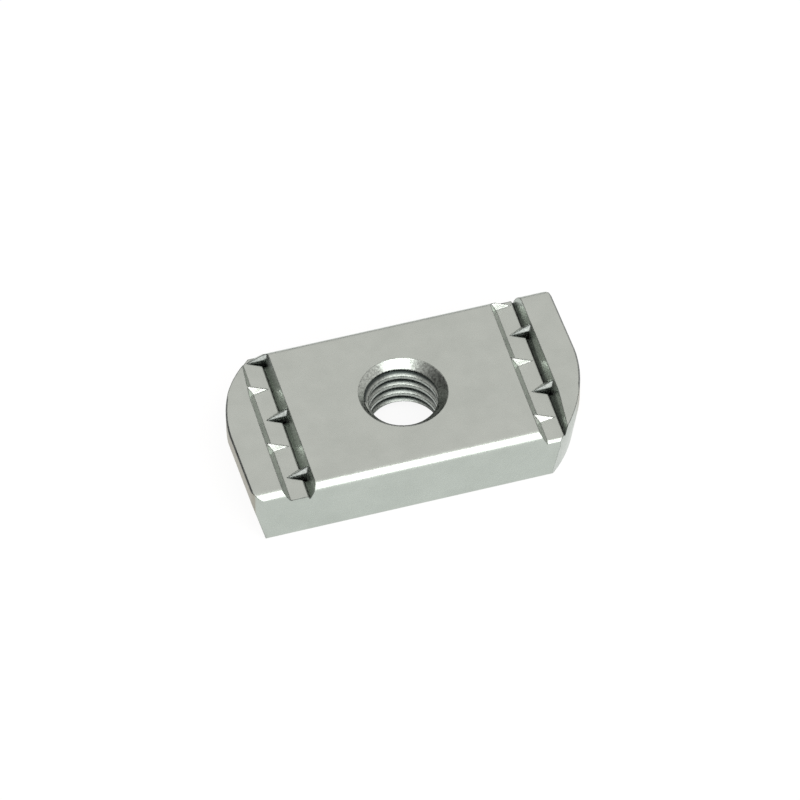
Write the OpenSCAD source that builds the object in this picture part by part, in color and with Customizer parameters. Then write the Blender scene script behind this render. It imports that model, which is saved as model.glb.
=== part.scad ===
// Channel nut: a short bar of zinc-plated steel that turns into a strut channel's slot.
// Two grooves take the channel's inturned lips, and punched teeth in them bite the lips' edges.
// Z is up, X runs along the bar, and the origin is under the bore, on the face the nut rests on.

/* [Bar] */
// Length over the two ends, short of the channel's inside width
nut_l = 34.9; // [33:0.1:36]
// Width across the long sides, short of the slot between the lips
nut_w = 18; // [17:0.1:20]
// Thickness of the bar
nut_t = 6.3; // [5.8:0.1:8]
// Radius of the long edges on top
edge_r = 1; // [0.6:0.1:1.4]
// Radius of the long edges underneath
foot_r = 0.4; // [0.2:0.1:0.8]

/* [Ends] */
// Radius of the two rounded corners on which the nut turns in the channel
lead_r = 13.4; // [12.4:0.1:14.4]
// Offset of the rounded corners' centres from the middle of the width
lead_y = 0.9; // [0.5:0.1:1.3]
// Lean of the straight stretch of each end, in degrees
end_lean = 1.2; // [0.5:0.1:3]
// Size of the small bevel along the ends on top
end_bevel = 0.15; // [0.1:0.05:0.3]
// Radius of the two square corners
corner_r = 1.4; // [0.8:0.1:1.6]
// Height up to which the straight stretches break inward
break_z = 4.5; // [4.3:0.1:4.6]
// Slope of that break from upright, in degrees
break_a = 13; // [9:1:14]
// Height up to which the rounded corners break inward
lead_break_z = 4.1; // [3:0.1:4.1]
// Slope of that break from upright, in degrees
lead_break_a = 8; // [3:1:9]
// Where the thin horn of land at a rounded corner starts to dip, from the middle of the width
dip_y = 3.8; // [3.6:0.1:5]
// Slope of that dip, in degrees
dip_a = 10; // [6:0.5:10]

/* [Bore] */
// Nominal diameter of the thread
thread_d = 8; // [6:1:10]
// Pitch of the thread
thread_p = 1.25; // [1:0.25:1.5]
// How much wider the countersunk mouths are than the thread
mouth_extra = 0.7; // [0.2:0.1:1.2]

/* [Grooves] */
// Distance between the middles of the two grooves
groove_gap = 25.5; // [25:0.1:26]
// Width of a groove between the feet of its walls
floor_w = 1.9; // [1.7:0.1:2.3]
// Depth of a groove in the middle of its length
groove_d = 1.1; // [0.9:0.05:1.3]
// Tilt of a groove's floor, which deepens it toward the front, in degrees
groove_tilt = 1; // [0.2:0.1:1.4]
// Slope of a groove's creased wall from upright, in degrees
wall_a = 24.5; // [18:0.5:28]
// Width of the crease that the punch's sharp edge leaves at the foot of the wall at +X
crease_w = 0.17; // [0.12:0.01:0.17]
// Depth of that crease
crease_d = 0.35; // [0.15:0.05:0.4]
// Radius with which the floor of the groove at +X rolls over into the front side
lip_r = 0.5; // [0.5:0.1:0.8]

/* [Teeth] */
// Spacing of the teeth, which spring from the two walls in turn
tooth_pitch = 3.68; // [3.4:0.02:3.8]
// Place of the middle tooth, from the middle of the width
tooth_y = 1.15; // [0.8:0.05:1.4]
// Reach of a tooth over the groove's floor
tooth_l = 1.6; // [1.3:0.1:1.6]
// How far a tooth's face swings forward from its tip to the wall
tooth_swing = 0.4; // [0.1:0.1:0.7]
// Length of the ramp behind a tooth's face, along the wall
ramp_l = 1.7; // [1:0.1:2]
// How far a plain tooth's face leans back, at the wall
lean_y = 0.6; // [0.4:0.1:0.9]
// Height of the slanted brow along the top of a notched tooth's face, at the wall
brow_h = 0.45; // [0.3:0.05:0.6]
// Width of the notch in front of such a face, at the wall
notch_w = 0.5; // [0.3:0.05:0.6]
// Depth of the notch under the floor, at the wall
notch_d = 0.8; // [0.5:0.05:0.9]
// How far the notch's thin end stays behind the tooth's tip
notch_gap = 0.15; // [0.05:0.05:0.3]

/* [Hidden] */
$fn = 96;
// How far a cut runs past the face it opens
over = 1;
half_w = nut_w / 2;
bore_r = (thread_d - thread_p) / 2;
mouth_r = (thread_d + mouth_extra) / 2;
// Flats lie this share of a radius from the centre, so a round blends into them by a hair
snug = 0.9992;
lead_c = [lead_r - nut_l / 2, -lead_y];
lead_sweep = 95;
end_u = snug * lead_r;
corner_in = snug * corner_r;
corner_y = corner_in - half_w;
corner_x = lead_c.x - (end_u - corner_in + (corner_y + lead_y) * sin(end_lean)) / cos(end_lean);
floor_z = nut_t - groove_d;
foot_x = floor_w / 2;
wall_x = foot_x + (groove_d + crease_d) * tan(wall_a);
tip_x = foot_x - tooth_l;
teeth_each_way = 2;
// The middle of the roll lies this share of its radius inside the front side
lip_in = 0.9;
lip_y = half_w - lip_in * lip_r;
// A tooth's crest stays this far under the top face, and its foot is sunk this far into the floor
crest_drop = 0.08;
foot_drop = 0.2;
// A spike runs on by these shares of its length past its tip and its base
tip_run = 0.05;
base_run = 0.2;
// A notch's form is this much larger at the wall than what it takes from the floor
notch_more = 1.5;
// It starts this far before the face
notch_set = 0.03;

// The rolled bar, with rounded long edges.
module bar() {
    rotate([90, 0, 90])
        linear_extrude(nut_l + 2 * over, center = true) {
            for (side = [-1, 1]) {
                translate([side * (half_w - edge_r), nut_t - edge_r])
                    circle(edge_r);
                translate([side * (half_w - foot_r), foot_r])
                    circle(foot_r);
            }
            polygon([
                [foot_r - half_w, 0], [half_w - foot_r, 0],
                [half_w, foot_r], [half_w, nut_t - edge_r],
                [half_w - edge_r, nut_t], [edge_r - half_w, nut_t],
                [-half_w, nut_t - edge_r], [-half_w, foot_r],
            ]);
        }
}

// Section of what the shear takes off an end: upright below a small bevel, breaking inward further down.
// U is measured outward from the centre of the rounded corner, Z upward.
module shear_section(u, z, slope) {
    polygon([
        [u - end_bevel - over, nut_t + over], [u, nut_t - end_bevel], [u, z],
        [u - (z + over) * tan(slope), -over],
        [u + nut_w, -over], [u + nut_w, nut_t + over],
    ]);
}

// One end's shear: straight across, then round the corner on which the nut turns.
module shear_cut() {
    translate(lead_c)
        rotate(180 + end_lean) {
            rotate([90, 0, 0])
                linear_extrude(3 * nut_w, center = true)
                    shear_section(end_u, break_z, break_a);
            rotate(-lead_sweep)
                rotate_extrude(angle = lead_sweep, $fn = 360)
                    shear_section(lead_r, lead_break_z, lead_break_a);
        }
}

// Takes the sharp edge off the square corner of the same end.
module corner_cut() {
    out = nut_t * [-cos(end_lean), -sin(end_lean)];
    translate([corner_x, corner_y, -over])
        linear_extrude(nut_t + 2 * over)
            difference() {
                polygon([[0, 0], out, out - [0, nut_t], [0, -nut_t]]);
                circle(corner_r);
            }
}

// Takes down the thin horn of land between the groove and the rounded corner of the same end.
module horn_dip() {
    translate([-nut_l, dip_y, nut_t])
        rotate([-dip_a, 0, 0])
            cube([nut_l - groove_gap / 2 - foot_x / 2, nut_w, nut_t]);
}

// A spike from a tip on the floor to base points in the wall, clockwise as seen from the tip.
// The line from the tip to the first of them stays true.
module spike(tip, base) {
    n = len(base);
    apex = tip - tip_run * (base[0] - tip);
    ends = [for (p = base) p + base_run * (p - tip)];
    sides = [for (i = [1:n]) [0, i, i % n + 1]];
    polyhedron(concat([apex], ends), concat(sides, [[for (i = [n:-1:1]) i]]));
}

// How far a tooth's face has swung forward at a distance x from the middle of its groove.
function face_y(x) = -tooth_swing * (x - tip_x) / (wall_x - tip_x);

// A tooth on the wall at +X: a ramp that rises along the wall and ends in a sharp face.
// A plain tooth's face leans back, and a notched one's stands upright under a slanted brow.
module tooth_ramp(notched) {
    face = face_y(wall_x);
    top = nut_t - crest_drop;
    foot = floor_z - foot_drop;
    heel = [wall_x, face, foot];
    toe = [wall_x, face + ramp_l, foot];
    if (notched)
        spike([tip_x, 0, floor_z], [[wall_x, face + brow_h, top], [wall_x, face, top - brow_h], heel, toe]);
    else
        spike([tip_x, 0, floor_z], [[wall_x, face + lean_y, top], heel, toe]);
}

// The notch that the same blow leaves in the floor, before an upright face.
module tooth_notch() {
    pit = [foot_x, face_y(foot_x) - notch_set, floor_z - notch_d];
    rise = [0, 0, notch_more * notch_d];
    mouth = [0, -notch_more * notch_w, 0];
    end_x = tip_x + notch_gap;
    spike([end_x, face_y(end_x) - notch_set, floor_z], [pit, pit + rise, pit + rise + mouth]);
}

// Places every other tooth of a groove, from the given one on, on the wall at +X.
module teeth_from(first) {
    for (i = [first:2:teeth_each_way])
        translate([0, tooth_y + i * tooth_pitch, 0])
            children();
}

// Section of a groove, with the crease at the foot of its wall at +X.
// Its height runs along X here, and its floor is at base.
module groove_section(base) {
    polygon([
        [base, -foot_x], [base, foot_x - crease_w], [base - crease_d, foot_x],
        [base + groove_d, wall_x], [base + groove_d + over, wall_x],
        [base + groove_d + over, -wall_x], [base + groove_d, -wall_x],
    ]);
}

// The form of the punch that presses one groove and its teeth into the bar.
// Notched teeth stand on the creased wall, plain ones on the other, in turn from the given one on.
// Where the floor is rolled over, it curves down into the front side.
module groove_punch(first_notched, first_plain, rolled) {
    start_y = rolled ? -lip_y : -half_w - over;
    difference() {
        union() {
            translate([0, start_y, 0])
                rotate([-90, -90, 0])
                    linear_extrude(half_w + over - start_y)
                        groove_section(floor_z);
            if (rolled)
                translate([0, -lip_y, floor_z - lip_r])
                    rotate([180, -90, 0])
                        rotate_extrude(angle = 90)
                            groove_section(lip_r);
        }
        teeth_from(first_notched)
            tooth_ramp(true);
        mirror([1, 0, 0])
            teeth_from(first_plain)
                tooth_ramp(false);
    }
    teeth_from(first_notched)
        tooth_notch();
}

// Places one groove's punch at a distance x from the middle, tilted about the middle of its floor.
module at_groove(x) {
    translate([x, 0, floor_z])
        rotate([groove_tilt, 0, 0])
            translate([0, 0, -floor_z])
                children();
}

// The bore at its tapping size, countersunk at both mouths.
module bore() {
    translate([0, 0, -over])
        cylinder(r = bore_r, h = nut_t + 2 * over);
    for (top = [0, 1])
        translate([0, 0, top * nut_t])
            mirror([0, 0, top])
                translate([0, 0, -over])
                    cylinder(r1 = mouth_r + over, r2 = bore_r, h = mouth_r - bore_r + over);
}

module channel_nut() {
    color("silver")
        difference() {
            bar();
            for (turn = [0, 180])
                rotate(turn) {
                    shear_cut();
                    corner_cut();
                    horn_dip();
                }
            at_groove(-groove_gap / 2)
                groove_punch(-teeth_each_way, 1 - teeth_each_way, false);
            at_groove(groove_gap / 2)
                groove_punch(1 - teeth_each_way, -teeth_each_way, true);
            bore();
        }
}

channel_nut();
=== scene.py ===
import math

import bpy
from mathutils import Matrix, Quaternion, Vector


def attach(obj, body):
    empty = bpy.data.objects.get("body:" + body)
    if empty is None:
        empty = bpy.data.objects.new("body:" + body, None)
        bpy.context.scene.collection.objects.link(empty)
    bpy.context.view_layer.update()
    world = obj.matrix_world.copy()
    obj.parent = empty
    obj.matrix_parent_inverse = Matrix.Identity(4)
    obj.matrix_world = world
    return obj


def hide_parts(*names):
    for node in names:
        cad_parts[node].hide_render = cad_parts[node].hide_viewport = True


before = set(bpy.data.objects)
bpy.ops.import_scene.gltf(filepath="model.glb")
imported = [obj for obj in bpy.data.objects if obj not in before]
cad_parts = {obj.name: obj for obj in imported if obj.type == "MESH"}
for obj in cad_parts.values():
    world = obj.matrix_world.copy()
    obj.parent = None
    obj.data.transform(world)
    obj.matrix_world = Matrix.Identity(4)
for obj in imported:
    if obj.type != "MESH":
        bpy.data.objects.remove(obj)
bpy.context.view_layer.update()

# The nut's body: a short length of flat steel bar, sheared at both ends and pressed in one blow,
# which leaves the two toothed grooves. Deburring and plating take the last sharpness off its edges.
MM = 0.001
merge_gap = 0.002 * MM
flat_angle = math.radians(0.3)

bpy.ops.object.select_all(action="DESELECT")
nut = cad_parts["channel_nut"].copy()
nut.data = nut.data.copy()
nut.name = "nut"
for key in list(nut.keys()):
    del nut[key]
nut.parent = None
bpy.context.scene.collection.objects.link(nut)
bpy.context.view_layer.objects.active = nut
nut.select_set(True)
bpy.ops.object.mode_set(mode="EDIT")
bpy.ops.mesh.select_all(action="SELECT")
bpy.ops.mesh.remove_doubles(threshold=merge_gap)
bpy.ops.mesh.customdata_custom_splitnormals_clear()
bpy.ops.mesh.dissolve_limited(angle_limit=flat_angle)
bpy.ops.object.mode_set(mode="OBJECT")

# The two sheared ends: the shear rolls the upper edge of each over and tears it. The faces of that rolled
# edge are marked for painted shade: the edge is painted dark.
end_x = 13.5 * MM
end_slope = 0.35
edge_slopes = (0.2, 0.9)
painted_shade = nut.data.attributes.new("painted_shade", "FLOAT", "FACE")
for face, mark in zip(nut.data.polygons, painted_shade.data):
    outward = math.copysign(face.normal.x, face.normal.x * face.center.x)
    slanted = edge_slopes[0] < face.normal.z < edge_slopes[1]
    if abs(face.center.x) > end_x and outward > end_slope and slanted:
        mark.value = 1

# The teeth: on the creased wall of each groove the punch tears them up, and their fronts, down in the pits,
# are marked for painted shade. On the other wall it presses them smooth, and their fronts are marked for a
# painted highlight.
groove_x = 12.75 * MM
groove_half = 2.2 * MM
groove_foot = 4.6 * MM
groove_front = -7.6 * MM
front_slope = -0.3
painted_highlight = nut.data.attributes.new("painted_highlight", "FLOAT", "FACE")
painted_shade = nut.data.attributes["painted_shade"]  # looked up again, since a new attribute can move an old one
for face in nut.data.polygons:
    across = face.center.x - math.copysign(groove_x, face.center.x)
    inside = abs(across) < groove_half and face.center.z > groove_foot and face.center.y > groove_front
    if inside and face.normal.y < front_slope and abs(face.normal.x) < end_slope:
        (painted_shade if across > 0 else painted_highlight).data[face.index].value = 1

# The thread: an M8 x 1.25 right-hand thread, cut by a tap from the grooved face down.
# The tap's one rib is a 60-degree ridge with a narrow flat on its crest, wound into a helix.
# It is turned half a step, so that its corners miss those of the bore.
thread_r = 4.0 * MM
thread_pitch = 1.25 * MM
flank_angle = math.radians(30)
rib_root_r = 3.25 * MM
crest_half = thread_pitch / 16
root_half = crest_half + (thread_r - rib_root_r) * math.tan(flank_angle)
tap_start = -2.6 * MM
tap_turns = 9
steps_a_turn = 96
half_step = math.pi / steps_a_turn
tip_corners = 8
smooth_angle = math.radians(30)

bpy.ops.object.select_all(action="DESELECT")
bpy.ops.mesh.primitive_plane_add(size=1, location=((rib_root_r + thread_r) / 2, 0, tap_start),
                                 rotation=(math.pi / 2, 0, 0))
tap = bpy.context.object
tap.name = "tap"
tap.scale = (thread_r - rib_root_r, 2 * root_half, 1)
bpy.ops.object.transform_apply(location=True, rotation=True, scale=True)
for corner in tap.data.vertices:
    if corner.co.x > (rib_root_r + thread_r) / 2:
        corner.co.z = tap_start + math.copysign(crest_half, corner.co.z - tap_start)
bpy.ops.object.mode_set(mode="EDIT")
bpy.ops.mesh.select_all(action="SELECT")
bpy.ops.mesh.delete(type="ONLY_FACE")
bpy.ops.object.mode_set(mode="OBJECT")
winding = tap.modifiers.new("winding", "SCREW")
winding.axis = "Z"
winding.screw_offset = thread_pitch
winding.iterations = tap_turns
winding.steps = steps_a_turn
winding.render_steps = steps_a_turn
bpy.ops.object.modifier_apply(modifier=winding.name)
tap.rotation_euler.z = half_step
bpy.ops.object.transform_apply(rotation=True)
bpy.ops.object.mode_set(mode="EDIT")
bpy.ops.mesh.select_all(action="DESELECT")
bpy.ops.mesh.select_mode(type="EDGE")
bpy.ops.mesh.select_non_manifold()
bpy.ops.mesh.fill_holes(sides=tip_corners)
bpy.ops.mesh.select_all(action="SELECT")
bpy.ops.mesh.normals_make_consistent(inside=False)
bpy.ops.object.mode_set(mode="OBJECT")

bpy.ops.object.select_all(action="DESELECT")
bpy.context.view_layer.objects.active = nut
nut.select_set(True)
tapping = nut.modifiers.new("thread", "BOOLEAN")
tapping.operation = "DIFFERENCE"
tapping.solver = "EXACT"
tapping.object = tap
bpy.ops.object.modifier_apply(modifier=tapping.name)
bpy.data.objects.remove(tap)
bpy.ops.object.mode_set(mode="EDIT")
bpy.ops.mesh.select_all(action="SELECT")
bpy.ops.mesh.remove_doubles(threshold=merge_gap)
bpy.ops.mesh.dissolve_degenerate(threshold=merge_gap)
bpy.ops.object.mode_set(mode="OBJECT")
bpy.ops.object.shade_smooth_by_angle(angle=smooth_angle)

# The cut surfaces of the bore: the thread is marked by its depth, from crest to root, below the
# countersink; the depth sets the painted shade in the thread's roots. Countersinks and thread together are
# marked as machined.
crest_r = 3.4 * MM
root_reach = 1.02 * thread_r
full_thread_z = 5.4 * MM
mouth_r = 4.75 * MM
flat_face = 0.95
tapped = nut.data.attributes.new("tapped", "FLOAT", "POINT")
for point, mark in zip(nut.data.vertices, tapped.data):
    radius = point.co.xy.length
    if radius < root_reach and point.co.z < full_thread_z:
        mark.value = min(1, max(0, (radius - crest_r) / (thread_r - crest_r)))
machined = nut.data.attributes.new("machined", "FLOAT", "FACE")
for face, mark in zip(nut.data.polygons, machined.data):
    if face.center.xy.length < mouth_r and abs(face.normal.z) < flat_face:
        mark.value = 1


# Zinc plating on rolled steel, electroplated and clear-passivated: a satin, slightly cloudy pale grey with
# a hint of green, over the faint grain of the bar. The sheared ends are duller and darker, and the
# countersinks keep the chatter marks of their cutter. Shade is painted into pits, creases, thread roots and
# along edges, and a highlight onto the burnished tooth fronts.
def linear(hex_colour):
    channels = [int(hex_colour[i:i + 2], 16) / 255 for i in (1, 3, 5)]
    return [c / 12.92 if c <= 0.04045 else ((c + 0.055) / 1.055) ** 2.4 for c in channels] + [1]


def add(tree, kind, settings=None, inputs=None, links=None):
    made = tree.nodes.new(kind)
    for name, value in (settings or {}).items():
        setattr(made, name, value)
    for name, value in (inputs or {}).items():
        made.inputs[name].default_value = value
    for name, source in (links or {}).items():
        tree.links.new(source, made.inputs[name])
    return made


cloud_size = 2.6 * MM
grain_size = 0.22 * MM
grain_height = 0.012 * MM
streak_size = 0.25 * MM
crevice_reach = 0.4 * MM
edge_round = 0.18 * MM
end_reach = (12.4 * MM, 15.2 * MM)

zinc = bpy.data.materials.new("zinc_plated_steel")
zinc.use_nodes = True
tree = zinc.node_tree
shader = tree.nodes["Principled BSDF"]
place = add(tree, "ShaderNodeTexCoord")

# The clouds of the passivated zinc, and its grain, which is drawn coarser than it is so that it shows.
clouds = add(tree, "ShaderNodeTexNoise", inputs={"Scale": 1 / cloud_size, "Detail": 4, "Roughness": 0.6},
             links={"Vector": place.outputs["Object"]})
grain = add(tree, "ShaderNodeTexNoise", inputs={"Scale": 1 / grain_size, "Detail": 3, "Roughness": 0.6},
            links={"Vector": place.outputs["Object"]})
tint = add(tree, "ShaderNodeMix", {"data_type": "RGBA"}, {6: linear("#ACB3AC"), 7: linear("#BDC4BD")},
           {0: clouds.outputs["Fac"]})

# The sheared ends, which are the faces that look outward far from the middle, are duller and warmer.
here = add(tree, "ShaderNodeSeparateXYZ", links={0: place.outputs["Object"]})
facing = add(tree, "ShaderNodeSeparateXYZ", links={0: place.outputs["Normal"]})
outward = add(tree, "ShaderNodeMath", {"operation": "MULTIPLY"},
              links={0: here.outputs["X"], 1: facing.outputs["X"]})
ends = add(tree, "ShaderNodeMapRange", {"interpolation_type": "SMOOTHSTEP"},
           {"From Min": end_reach[0], "From Max": end_reach[1], "To Min": 0, "To Max": 1},
           {"Value": outward.outputs[0]})
dulled = add(tree, "ShaderNodeMix", {"data_type": "RGBA"}, {7: linear("#A5A397")},
             {0: ends.outputs["Result"], 6: tint.outputs[2]})

# Painted light: the burnished tooth fronts get a painted highlight, and the torn tooth fronts and rolled
# end edges a dark, streaked painted shade.
highlight_mark = add(tree, "ShaderNodeAttribute", {"attribute_name": "painted_highlight"})
painted_highlight_mix = add(tree, "ShaderNodeMix", {"data_type": "RGBA"}, {7: linear("#DFE3DE")},
              {0: highlight_mark.outputs["Fac"], 6: dulled.outputs[2]})
streaks = add(tree, "ShaderNodeTexNoise", inputs={"Scale": 1 / streak_size, "Detail": 3, "Roughness": 0.65},
              links={"Vector": place.outputs["Object"]})
streaked_shade = add(tree, "ShaderNodeMix", {"data_type": "RGBA"}, {6: linear("#262A29"), 7: linear("#A0A5A1")},
               {0: streaks.outputs["Fac"]})
shade_mark = add(tree, "ShaderNodeAttribute", {"attribute_name": "painted_shade"})
painted_shade_mix = add(tree, "ShaderNodeMix", {"data_type": "RGBA"},
                links={0: shade_mark.outputs["Fac"], 6: painted_highlight_mix.outputs[2], 7: streaked_shade.outputs[2]})

# The bore is mottled by the cutter's chatter, and the roots of its thread are painted dark: painted shade.
cut = add(tree, "ShaderNodeAttribute", {"attribute_name": "machined"})
mottle = add(tree, "ShaderNodeMapRange",
             inputs={"From Min": 0.3, "From Max": 0.65, "To Min": 0.5, "To Max": 1},
             links={"Value": grain.outputs["Fac"]})
mottled = add(tree, "ShaderNodeMix", {"data_type": "RGBA", "blend_type": "MULTIPLY"},
              links={0: cut.outputs["Fac"], 6: painted_shade_mix.outputs[2], 7: mottle.outputs["Result"]})
depth = add(tree, "ShaderNodeAttribute", {"attribute_name": "tapped"})
root_shade = add(tree, "ShaderNodeMapRange",
            inputs={"From Min": 0.05, "From Max": 0.5, "To Min": 0, "To Max": 1},
            links={"Value": depth.outputs["Fac"]})
root_shaded = add(tree, "ShaderNodeMix", {"data_type": "RGBA"}, {7: linear("#3A403E")},
             {0: root_shade.outputs["Result"], 6: mottled.outputs[2]})

# Painted shade: pits and creases are darkened by ambient occlusion, with a ragged border.
open_air = add(tree, "ShaderNodeAmbientOcclusion", {"samples": 8, "only_local": True},
               {"Distance": crevice_reach})
ragged_air = add(tree, "ShaderNodeMath", {"operation": "MULTIPLY_ADD"}, {1: 0.3},
                 {0: grain.outputs["Fac"], 2: open_air.outputs["AO"]})
painted_crevice_shade = add(tree, "ShaderNodeMapRange",
              inputs={"From Min": 0.22, "From Max": 0.42, "To Min": 0.05, "To Max": 1},
              links={"Value": ragged_air.outputs[0]})
crevice_shaded = add(tree, "ShaderNodeMix", {"data_type": "RGBA", "blend_type": "MULTIPLY"}, {0: 1},
             {6: root_shaded.outputs[2], 7: painted_crevice_shade.outputs["Result"]})

# Sharp edges are broken by a hair, and a ragged dark line is painted where the rounded surface turns away:
# painted shade.
rounded = add(tree, "ShaderNodeBevel", {"samples": 6}, {"Radius": edge_round})
surface = add(tree, "ShaderNodeNewGeometry")
turned = add(tree, "ShaderNodeVectorMath", {"operation": "DOT_PRODUCT"},
             links={0: rounded.outputs["Normal"], 1: surface.outputs["Normal"]})
ragged_edge = add(tree, "ShaderNodeMath", {"operation": "MULTIPLY_ADD"}, {1: 0.15},
                  {0: grain.outputs["Fac"], 2: turned.outputs["Value"]})
painted_edge_shade = add(tree, "ShaderNodeMapRange",
           inputs={"From Min": 0.985, "From Max": 1.025, "To Min": 0.1, "To Max": 1},
           links={"Value": ragged_edge.outputs[0]})
edge_shaded = add(tree, "ShaderNodeMix", {"data_type": "RGBA", "blend_type": "MULTIPLY"}, {0: 1},
            {6: crevice_shaded.outputs[2], 7: painted_edge_shade.outputs["Result"]})

# The gloss is satin, duller on the ends, and the grain stands out more in the bore.
polish = add(tree, "ShaderNodeMapRange",
             inputs={"From Min": 0.3, "From Max": 0.7, "To Min": 0.24, "To Max": 0.36},
             links={"Value": grain.outputs["Fac"]})
rough = add(tree, "ShaderNodeMath", {"operation": "MULTIPLY_ADD"}, {1: 0.15},
            {0: ends.outputs["Result"], 2: polish.outputs["Result"]})
chatter = add(tree, "ShaderNodeMath", {"operation": "MULTIPLY_ADD"}, {1: 0.5, 2: 0.25},
              {0: cut.outputs["Fac"]})
relief = add(tree, "ShaderNodeBump", inputs={"Distance": grain_height},
             links={"Height": grain.outputs["Fac"], "Normal": rounded.outputs["Normal"],
                    "Strength": chatter.outputs[0]})
shader.inputs["Metallic"].default_value = 1
tree.links.new(edge_shaded.outputs[2], shader.inputs["Base Color"])
tree.links.new(rough.outputs[0], shader.inputs["Roughness"])
tree.links.new(relief.outputs["Normal"], shader.inputs["Normal"])
nut.data.materials.clear()
nut.data.materials.append(zinc)

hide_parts("channel_nut")
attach(nut, "root")

# The floor: a plain sheet of matt white paper that runs out of sight. It is white to the camera and
# in the metal, and keeps a faint shadow under the nut.
floor_half = 0.6
shown_white = 0.9
bpy.ops.object.select_all(action="DESELECT")
bpy.ops.mesh.primitive_plane_add(size=2 * floor_half, location=(0, 0, 0))
floor = bpy.context.object
floor.name = "floor"
paper = bpy.data.materials.new("white_paper")
paper.use_nodes = True
tree = paper.node_tree
sheet = tree.nodes["Principled BSDF"]
sheet.inputs["Base Color"].default_value = linear("#F4F4F2")
sheet.inputs["Roughness"].default_value = 0.9
ray = add(tree, "ShaderNodeLightPath")
seen = add(tree, "ShaderNodeMath", {"operation": "MAXIMUM"},
           links={0: ray.outputs["Is Camera Ray"], 1: ray.outputs["Is Glossy Ray"]})
seen_too = add(tree, "ShaderNodeMath", {"operation": "MAXIMUM"},
               links={0: seen.outputs[0], 1: ray.outputs["Is Transmission Ray"]})
share = add(tree, "ShaderNodeMath", {"operation": "MULTIPLY"}, {1: shown_white}, {0: seen_too.outputs[0]})
white = add(tree, "ShaderNodeEmission", inputs={"Color": (1, 1, 1, 1), "Strength": 1})
sheet_or_white = add(tree, "ShaderNodeMixShader",
                     links={0: share.outputs[0], 1: sheet.outputs[0], 2: white.outputs[0]})
tree.links.new(sheet_or_white.outputs[0], tree.nodes["Material Output"].inputs["Surface"])
floor.data.materials.append(paper)

# The studio: a white cloth tent round the nut, in shade toward its foot and most of all on the left.
# One large soft lamp stands in front, behind the camera.
tent_up = (0.4, 0, 1)
tent_dark = 0.08
tent_light = 1.0
tent_foot = 0.1
tent_shoulder = 0.35
softbox_place = (0, -0.82, 0.62)
softbox_power = 16
softbox_wide = 1.2
softbox_high = 1.5
world = bpy.data.worlds.new("studio")
world.use_nodes = True
bpy.context.scene.world = world
tree = world.node_tree
backdrop = tree.nodes["Background"]
toward = add(tree, "ShaderNodeTexCoord")
height = add(tree, "ShaderNodeVectorMath", {"operation": "DOT_PRODUCT"}, {1: tent_up},
             {0: toward.outputs["Generated"]})
shade = add(tree, "ShaderNodeMapRange", {"interpolation_type": "SMOOTHSTEP"},
            {"From Min": tent_foot, "From Max": tent_shoulder, "To Min": tent_dark, "To Max": tent_light},
            {"Value": height.outputs["Value"]})
backdrop.inputs["Color"].default_value = linear("#FDF7F7")
tree.links.new(shade.outputs["Result"], backdrop.inputs["Strength"])


def lamp(name, place, power, wide, high):
    data = bpy.data.lights.new(name, "AREA")
    data.shape = "RECTANGLE"
    data.energy = power
    data.size = wide
    data.size_y = high
    made = bpy.data.objects.new(name, data)
    made.location = place
    made.rotation_mode = "QUATERNION"
    made.rotation_quaternion = (-Vector(place)).to_track_quat("-Z", "Y")
    bpy.context.scene.collection.objects.link(made)


lamp("softbox", softbox_place, softbox_power, softbox_wide, softbox_high)

# The camera: a long lens that looks from the front and above, a little from the left, as the
# photograph was taken. Its angles and aim were fitted to the nut's edges and outline there.
picture = 800
focal_px = 6000
azimuth = math.radians(-15.617)
elevation = math.radians(49.516)
roll = math.radians(-0.643)
distance = 581.444 * MM
aim_right = -0.356 * MM
aim_down = -3.316 * MM

camera_data = bpy.data.cameras.new("camera")
camera_data.sensor_width = 36
camera_data.lens = focal_px / picture * camera_data.sensor_width
camera_data.clip_start = 0.01
camera_data.clip_end = 10
camera = bpy.data.objects.new("camera", camera_data)
bpy.context.scene.collection.objects.link(camera)
back = Vector((math.sin(azimuth) * math.cos(elevation), -math.cos(azimuth) * math.cos(elevation),
               math.sin(elevation)))
turn = (-back).to_track_quat("-Z", "Y") @ Quaternion((0, 0, 1), roll)
camera.rotation_mode = "QUATERNION"
camera.rotation_quaternion = turn
camera.location = turn @ Vector((aim_right, -aim_down, 0)) + back * distance
bpy.context.scene.camera = camera
bpy.context.scene.view_settings.view_transform = "Standard"
